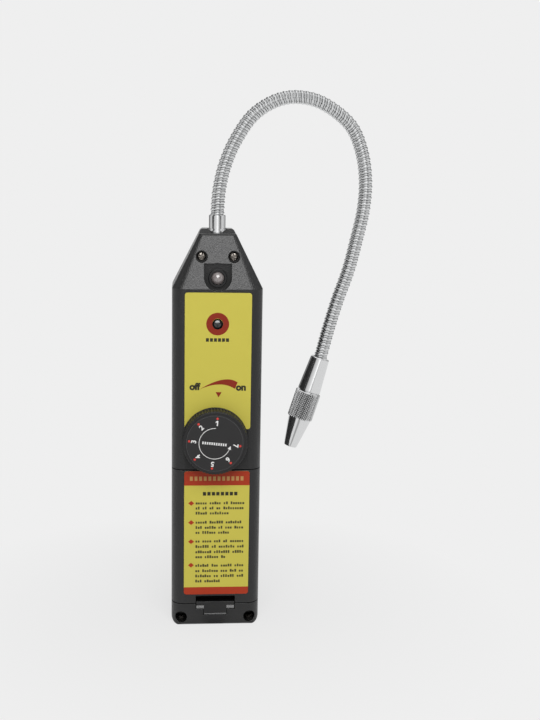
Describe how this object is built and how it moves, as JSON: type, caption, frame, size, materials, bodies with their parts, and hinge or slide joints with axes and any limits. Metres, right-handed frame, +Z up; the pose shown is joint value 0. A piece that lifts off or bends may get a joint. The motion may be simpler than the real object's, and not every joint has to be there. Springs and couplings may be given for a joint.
{
  "type": "refrigerant leak detector",
  "caption": "Slim hand-held leak detector with a sloping nose, sensitivity dial, battery door and a bendable wound probe neck that ends in a knurled sensor cap.",
  "frame": {"origin": "middle of the flat foot, under the neck's collar", "axes": "+Z up along the case, -Y out of the face with the dial, +X to the right seen from the front"},
  "size_m": [0.0987, 0.0508, 0.2654],
  "materials": {
    "case_plastic": "fine spark-eroded grain",
    "label_foil": "printed polyester foil",
    "screw_steel": "nickel plated",
    "black_plastic": "smooth",
    "lamp_lens": "milky",
    "dial_plastic": "satin",
    "dial_print": "printed",
    "pot_metal": "tinned",
    "board_laminate": "solder mask",
    "winding": "varnished",
    "chip_body": "moulded",
    "can_sleeve": "shrunk sleeve",
    "cell_jacket": "printed foil jacket",
    "contact_metal": "nickel plated",
    "neck_winding": "bright wound wire",
    "plated_metal": "polished",
    "lead_sheath": "soft",
    "sensor_metal": "bright"
  },
  "bodies": {
    "case": {"front_cover": "case_plastic", "rear_cover": "case_plastic", "front_label": "label_foil", "case_screws": "screw_steel", "board_screws": "screw_steel", "collar_nut": "screw_steel", "lamp_ring": "black_plastic", "buzzer": "black_plastic", "battery_tray": "black_plastic", "sensor_socket": "black_plastic", "indicator_lamp": "lamp_lens", "sensitivity_pot": "pot_metal", "circuit_board": "board_laminate", "step_up_transformer": "winding", "control_chip": "chip_body", "capacitors": "can_sleeve", "left_cell": "cell_jacket", "right_cell": "cell_jacket", "bridge_contact": "contact_metal", "left_terminal": "contact_metal", "right_terminal": "contact_metal", "lower_spring": "contact_metal", "upper_spring": "contact_metal", "gooseneck": "neck_winding", "neck_collar": "plated_metal", "tip_sleeve": "plated_metal", "sensor_lead": "lead_sheath", "sensor_element": "sensor_metal"},
    "dial": {"sensitivity_dial": "dial_plastic", "dial_plate": "dial_print", "pot_shaft": "pot_metal"},
    "door": {"battery_door": "case_plastic", "door_label": "label_foil"},
    "cap": {"sensor_cap": "plated_metal"}
  },
  "joints": [
    {"name": "dial_turn", "type": "hinge", "parent": "case", "child": "dial", "pos_m": [-0.0009, -0.021, 0.0964], "axis": [0, 1, 0], "range_deg": [-45, 265]},
    {"name": "door_tilt", "type": "hinge", "parent": "case", "child": "door", "pos_m": [0, -0.0206, 0.0802], "axis": [-1, 0, 0], "range_deg": [0, 50]},
    {"name": "cap_off", "type": "slide", "parent": "case", "child": "cap", "axis": [-0.3007, 0, -0.9537], "range_m": [0, 0.024]}
  ]
}
